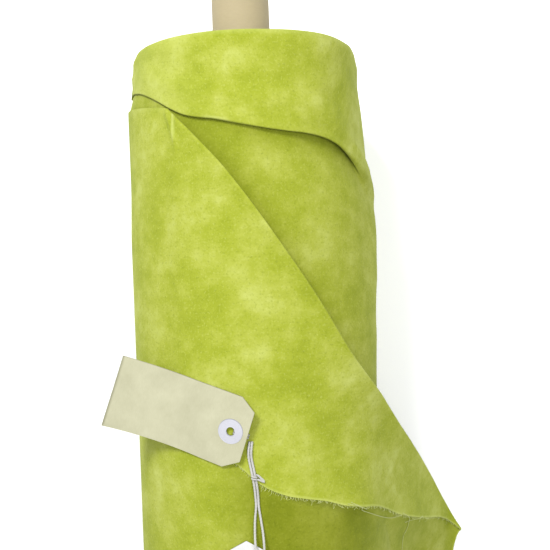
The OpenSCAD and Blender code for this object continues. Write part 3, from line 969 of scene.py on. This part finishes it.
def card_piece(name, place, rim, h0, h1, rings):
    """A flat card with the tag's hole, from the hole out to rim, between heights h0 and h1."""
    hole_c = np.array([HOLE_AT, 0])
    angle = np.arctan2(rim[:, 1], rim[:, 0] - HOLE_AT)
    hole = hole_c + HOLE_R * np.stack([np.cos(angle), np.sin(angle)], -1)
    t = np.linspace(0, 1, rings)[:, None, None]
    flat = hole[None] + (rim - hole)[None] * t
    round_t = np.concatenate([[0.35], np.ones(rings - 2), [0.35]])[:, None]
    mid, half = (h0 + h1) / 2, (h1 - h0) / 2
    up = place(flat[..., 0], flat[..., 1], mid + half * round_t)
    down = place(flat[..., 0], flat[..., 1], mid - half * round_t)
    n, m = flat.shape[:2]
    index = np.arange(n * m).reshape(n, m)
    index = np.concatenate([index, index[:, :1]], 1)
    low = index + n * m

    def wall(a, b):
        return np.stack([a[:-1], a[1:], b[1:], b[:-1]], -1)

    faces = np.concatenate([quads(index), quads(low)[:, ::-1],
                            wall(low[-1], index[-1])[:, ::-1], wall(low[0], index[0])])
    verts = np.concatenate([up.reshape(-1, 3), down.reshape(-1, 3)])
    uv = np.concatenate([flat.reshape(-1, 2)] * 2)
    rim_share = np.broadcast_to(smooth(t[..., 0], 0.985, 1.0), (n, m)).reshape(-1)
    return new_mesh(name, verts, faces, uv, np.concatenate([rim_share] * 2))


round_patch = np.linspace(0, 2 * math.pi, 72, endpoint=False)
patch_rim = np.array([HOLE_AT, 0]) + PATCH_R * np.stack([np.cos(round_patch), np.sin(round_patch)], -1)

card_parts = []
for tag, place, slot in (("stock_tag", place_stock, "manila"), ("price_tag", place_price, "white_card")):
    sheet = card_piece(tag + "_card", place, tag_rim(150), 0, TAG_T, rings=40)
    top = card_piece(tag + "_reinforce_top", place, patch_rim, TAG_T, TAG_T + PATCH_T, rings=8)
    back = card_piece(tag + "_reinforce_back", place, patch_rim, -PATCH_T, 0, rings=8)
    for piece, node, its_slot in ((sheet, tag, slot), (top, tag + "_patch_top", "patch"),
                                  (back, tag + "_patch_back", "patch")):
        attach(piece, tag)
        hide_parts(node)
        card_parts.append((piece, its_slot))


# Materials --------------------------------------------------------------------------------

class Shader:
    """A material under construction: its node tree, with short calls to add and link nodes."""

    def __init__(self, name):
        self.material = bpy.data.materials.new(name)
        self.material.use_nodes = True
        self.tree = self.material.node_tree
        self.surface = self.tree.nodes["Principled BSDF"]

    def add(self, kind, inputs=None, **settings):
        node = self.tree.nodes.new(kind)
        for key, value in settings.items():
            setattr(node, key, value)
        for key, value in (inputs or {}).items():
            if isinstance(value, bpy.types.NodeSocket):
                self.tree.links.new(value, node.inputs[key])
            else:
                node.inputs[key].default_value = value
        return node

    def set(self, **values):
        for key, value in values.items():
            self.surface.inputs[key.replace("_", " ")].default_value = value

    def link(self, socket, name):
        self.tree.links.new(socket, self.surface.inputs[name])

    def flat(self):
        return self.add("ShaderNodeUVMap", uv_map="flat").outputs["UV"]

    def place(self):
        return self.add("ShaderNodeTexCoord").outputs["Object"]

    def scaled(self, vector, scale):
        return self.add("ShaderNodeMapping", {"Vector": vector, "Scale": scale}).outputs["Vector"]

    def noise(self, vector, size, detail, rough):
        """Noise with features about size metres across."""
        return self.add("ShaderNodeTexNoise", {
            "Vector": vector, "Scale": 1 / size, "Detail": detail, "Roughness": rough}).outputs["Fac"]

    def ramp(self, fac, stops):
        node = self.add("ShaderNodeValToRGB", {"Fac": fac})
        points = node.color_ramp.elements
        while len(points) < len(stops):
            points.new(0.5)
        for point, (position, colour) in zip(points, stops):
            point.position = position
            point.color = colour if len(colour) == 4 else (*colour, 1)
        return node.outputs["Color"]

    def math(self, operation, a, b=0.0, clamp=False):
        node = self.add("ShaderNodeMath", operation=operation, use_clamp=clamp)
        for socket, value in zip(node.inputs, (a, b)):
            if isinstance(value, bpy.types.NodeSocket):
                self.tree.links.new(value, socket)
            else:
                socket.default_value = value
        return node.outputs[0]

    def mix(self, fac, a, b, blend="MIX"):
        node = self.add("ShaderNodeMix", data_type="RGBA", blend_type=blend)
        for socket, value in ((node.inputs["Factor"], fac), (node.inputs[6], a), (node.inputs[7], b)):
            if isinstance(value, bpy.types.NodeSocket):
                self.tree.links.new(value, socket)
            else:
                socket.default_value = value if isinstance(value, float) else (*value, 1)
        return node.outputs[2]

    def attribute(self, name):
        return self.add("ShaderNodeAttribute", attribute_name=name).outputs["Fac"]

    def bump(self, height, distance, below=None):
        inputs = {"Height": height, "Distance": distance, "Strength": 1.0}
        if below is not None:
            inputs["Normal"] = below
        return self.add("ShaderNodeBump", inputs).outputs["Normal"]


def srgb(r, g, b):
    """A colour given as 0 to 255, as linear values."""
    return tuple(v / 255 / 12.92 if v <= 10 else ((v / 255 + 0.055) / 1.055) ** 2.4 for v in (r, g, b))


BLACK, WHITE = (0, 0, 0), (1, 1, 1)


def cotton(name):
    """Printed cotton: clouds of lime in three tones, fine speckle, and a plain weave. The
    "pale" attribute runs from a darker tone at 0, for the dyed face and painted shade, to the
    cloth's back at WORN, and up to 1 for frayed edges, painted highlights and painted light."""
    m = Shader(name)
    flat = m.flat()
    clouds = m.noise(flat, 40 * MM, 3, 0.55)
    patches = m.noise(flat, 12 * MM, 5, 0.65)
    blotch = m.math("ADD", m.math("MULTIPLY", clouds, 0.6), m.math("MULTIPLY", patches, 0.4))
    tone = m.ramp(blotch, [(0.36, srgb(124, 134, 30)), (0.46, srgb(134, 143, 40)),
                           (0.55, srgb(145, 152, 58)), (0.68, srgb(161, 167, 86))])
    grains = m.noise(flat, 1.7 * MM, 3, 0.6)
    dark_grain = m.math("MULTIPLY", m.ramp(grains, [(0.56, BLACK), (0.66, WHITE)]), 0.38)
    other_grains = m.noise(m.scaled(flat, (1.1, 0.9, 1)), 1.5 * MM, 3, 0.65)
    light_grain = m.math("MULTIPLY", m.ramp(other_grains, [(0.54, BLACK), (0.70, WHITE)]), 0.34)
    colour = m.mix(dark_grain, tone, srgb(106, 116, 30))
    colour = m.mix(light_grain, colour, srgb(172, 178, 96))
    pale = m.attribute("pale")
    # below WORN the colour darkens towards the dyed face's tone, which also serves as painted shade;
    # above WORN it pales for frayed edges, painted highlights and painted light
    wear_and_shade = m.math("DIVIDE", pale, WORN, clamp=True)
    fray_and_highlight = m.math("MULTIPLY", m.math("SUBTRACT", pale, WORN, clamp=True), 1.3)
    colour = m.mix(wear_and_shade, m.mix(1.0, colour, srgb(200, 202, 140), "MULTIPLY"), colour)
    colour = m.mix(fray_and_highlight, colour, srgb(176, 183, 108))
    m.link(colour, "Base Color")
    m.set(Roughness=0.92, Specular_IOR_Level=0.15, Sheen_Weight=0.1, Sheen_Roughness=0.45)
    m.surface.inputs["Sheen Tint"].default_value = (*srgb(235, 240, 190), 1)
    warp = m.noise(m.scaled(flat, (1, 0.07, 1)), 0.35 * MM, 1, 0.5)
    weft = m.noise(m.scaled(flat, (0.07, 1, 1)), 0.35 * MM, 1, 0.5)
    weave = m.math("MAXIMUM", warp, weft)
    soft = m.bump(m.noise(flat, 5 * MM, 3, 0.5), 0.35 * MM)
    m.link(m.bump(weave, 0.16 * MM, soft), "Normal")
    return m.material


def kraft(name, base, light, seam_pitch):
    """Wound paper board: helical plies with a seam, and fibres along them."""
    m = Shader(name)
    at = m.place()
    parts = m.add("ShaderNodeSeparateXYZ", {"Vector": at}).outputs
    angle = m.math("DIVIDE", m.math("ARCTAN2", parts["X"], parts["Z"]), 2 * math.pi)
    run = m.math("FRACT", m.math("ADD", m.math("DIVIDE", parts["Y"], seam_pitch), angle))
    seam = m.ramp(m.math("ABSOLUTE", m.math("SUBTRACT", run, 0.5)), [(0.0, WHITE), (0.008, BLACK)])
    wrapped = m.add("ShaderNodeCombineXYZ", {
        "X": m.math("MULTIPLY", angle, 0.13), "Y": parts["Y"], "Z": run}).outputs[0]
    fibres = m.noise(m.scaled(wrapped, (0.25, 1, 0.02)), 1.1 * MM, 4, 0.65)
    stains = m.noise(at, 30 * MM, 3, 0.5)
    colour = m.mix(m.math("MULTIPLY", m.math("ADD", fibres, stains), 0.5), base, light)
    colour = m.mix(m.math("MULTIPLY", seam, 0.45), colour, tuple(0.45 * v for v in base))
    m.link(colour, "Base Color")
    m.set(Roughness=0.7, Specular_IOR_Level=0.3)
    ridge = m.bump(seam, -0.25 * MM)
    m.link(m.bump(fibres, 0.08 * MM, ridge), "Normal")
    return m.material


def card(name, base, light, fibre=0.05):
    """Card stock: faint clouds, short fibres and a slightly darker cut edge."""
    m = Shader(name)
    flat = m.flat()
    clouds = m.noise(flat, 18 * MM, 4, 0.6)
    fibres = m.noise(m.scaled(flat, (1, 0.3, 1)), 0.9 * MM, 4, 0.7)
    blend = m.math("ADD", m.math("MULTIPLY", clouds, 0.7), m.math("MULTIPLY", fibres, 0.3))
    colour = m.mix(m.ramp(blend, [(0.3, BLACK), (0.7, WHITE)]), base, light)
    flecks = m.ramp(m.noise(flat, 1.3 * MM, 2, 0.5), [(0.70, BLACK), (0.76, WHITE)])
    colour = m.mix(m.math("MULTIPLY", flecks, 0.25), colour, tuple(0.55 * v for v in base))
    colour = m.mix(m.math("MULTIPLY", m.attribute("pale"), 0.15), colour, tuple(0.5 * v for v in base))
    m.link(colour, "Base Color")
    m.set(Roughness=0.75, Specular_IOR_Level=0.3)
    m.link(m.bump(fibres, fibre * MM, m.bump(clouds, 0.12 * MM)), "Normal")
    return m.material


def twine(name):
    """White cotton string, a little grey in the grooves between its plies."""
    m = Shader(name)
    at = m.place()
    fibres = m.noise(m.scaled(at, (1, 0.25, 1)), 0.5 * MM, 4, 0.7)
    grime = m.noise(at, 9 * MM, 2, 0.5)
    dirt = m.math("MULTIPLY", m.math("ADD", fibres, grime), 0.5)
    colour = m.mix(dirt, srgb(140, 138, 132), srgb(184, 183, 178))
    m.link(colour, "Base Color")
    m.set(Roughness=0.9, Specular_IOR_Level=0.15, Sheen_Weight=0.4)
    m.link(m.bump(fibres, 0.12 * MM), "Normal")
    return m.material


def thread(name):
    """Frayed threads: pale lime, a little uneven along their length."""
    m = Shader(name)
    fibres = m.noise(m.place(), 0.8 * MM, 2, 0.5)
    m.link(m.mix(fibres, srgb(160, 168, 84), srgb(188, 193, 128)), "Base Color")
    m.set(Roughness=0.9, Sheen_Weight=0.3)
    return m.material


def dress(obj, material):
    obj.data.materials.clear()
    obj.data.materials.append(material)


cloth_material = cotton("lime_cotton")
for piece in (wound_roll, outer_turn, loose_end, corner_flap):
    dress(piece, cloth_material)
thread_material = thread("frayed_cotton")
for piece in (fray, tail_fray):
    dress(piece, thread_material)
twine_material = twine("cotton_string")
for piece in (*strings, knot, tag_loop):
    dress(piece, twine_material)
card_materials = {
    "manila": card("manila_card", srgb(150, 148, 122), srgb(166, 164, 138)),
    "white_card": card("white_card", srgb(178, 178, 176), srgb(194, 194, 191)),
    "patch": card("paper_patch", srgb(158, 158, 165), srgb(172, 172, 179), 0.08)}
for piece, its_slot in card_parts:
    dress(piece, card_materials[its_slot])
NO_SEAM = 10.0            # a pitch so long that the piece shows no seam
board_materials = {
    "core_liner": kraft("tube_liner", srgb(176, 150, 112), srgb(196, 172, 134), 118 * MM),
    "core_board": kraft("tube_board", srgb(168, 142, 106), srgb(186, 162, 126), 90 * MM),
    "core_wrap": kraft("tube_face", srgb(142, 130, 100), srgb(160, 148, 118), 142 * MM),
    "start_tape": kraft("paper_tape", srgb(214, 204, 178), srgb(228, 220, 198), NO_SEAM)}
for node, material in board_materials.items():
    dress(bpy.data.objects[node] if node in bpy.data.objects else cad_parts[node], material)


# Stage ------------------------------------------------------------------------------------

FLOOR_HALF = 4.0
FLOOR_CORNERS = [(x * FLOOR_HALF, y * FLOOR_HALF, FLOOR_Z - 0.05 * MM)
                 for x, y in ((-1, -1), (1, -1), (1, 1), (-1, 1))]
floor_mesh = bpy.data.meshes.new("floor")
floor_mesh.from_pydata(FLOOR_CORNERS, [], [(0, 1, 2, 3)])
floor = bpy.data.objects.new("floor", floor_mesh)
bpy.context.scene.collection.objects.link(floor)
paper = Shader("floor_paper")
paper.set(Base_Color=(0.9, 0.9, 0.91, 1), Roughness=0.9, Specular_IOR_Level=0.1)
dress(floor, paper.material)

bpy.context.scene.view_settings.view_transform = "Standard"     # keeps the whites clean
world = bpy.data.worlds.new("studio")
bpy.context.scene.world = world
world.use_nodes = True
world.node_tree.nodes["Background"].inputs["Color"].default_value = (0.96, 0.98, 1.0, 1)
world.node_tree.nodes["Background"].inputs["Strength"].default_value = 0.62


def area_light(name, at, target, size, power):
    data = bpy.data.lights.new(name, "AREA")
    data.shape = "SQUARE"
    data.size = size
    data.energy = power
    lamp = bpy.data.objects.new(name, data)
    lamp.location = at
    lamp.rotation_euler = (Vector(target) - Vector(at)).to_track_quat("-Z", "Y").to_euler()
    bpy.context.scene.collection.objects.link(lamp)


area_light("key", (-0.75, 1.75, 1.45), (0, 0.5, 0), 0.55, 47)
area_light("overhead", (0.55, 0.45, 1.75), (0, 0.3, 0), 1.1, 25)
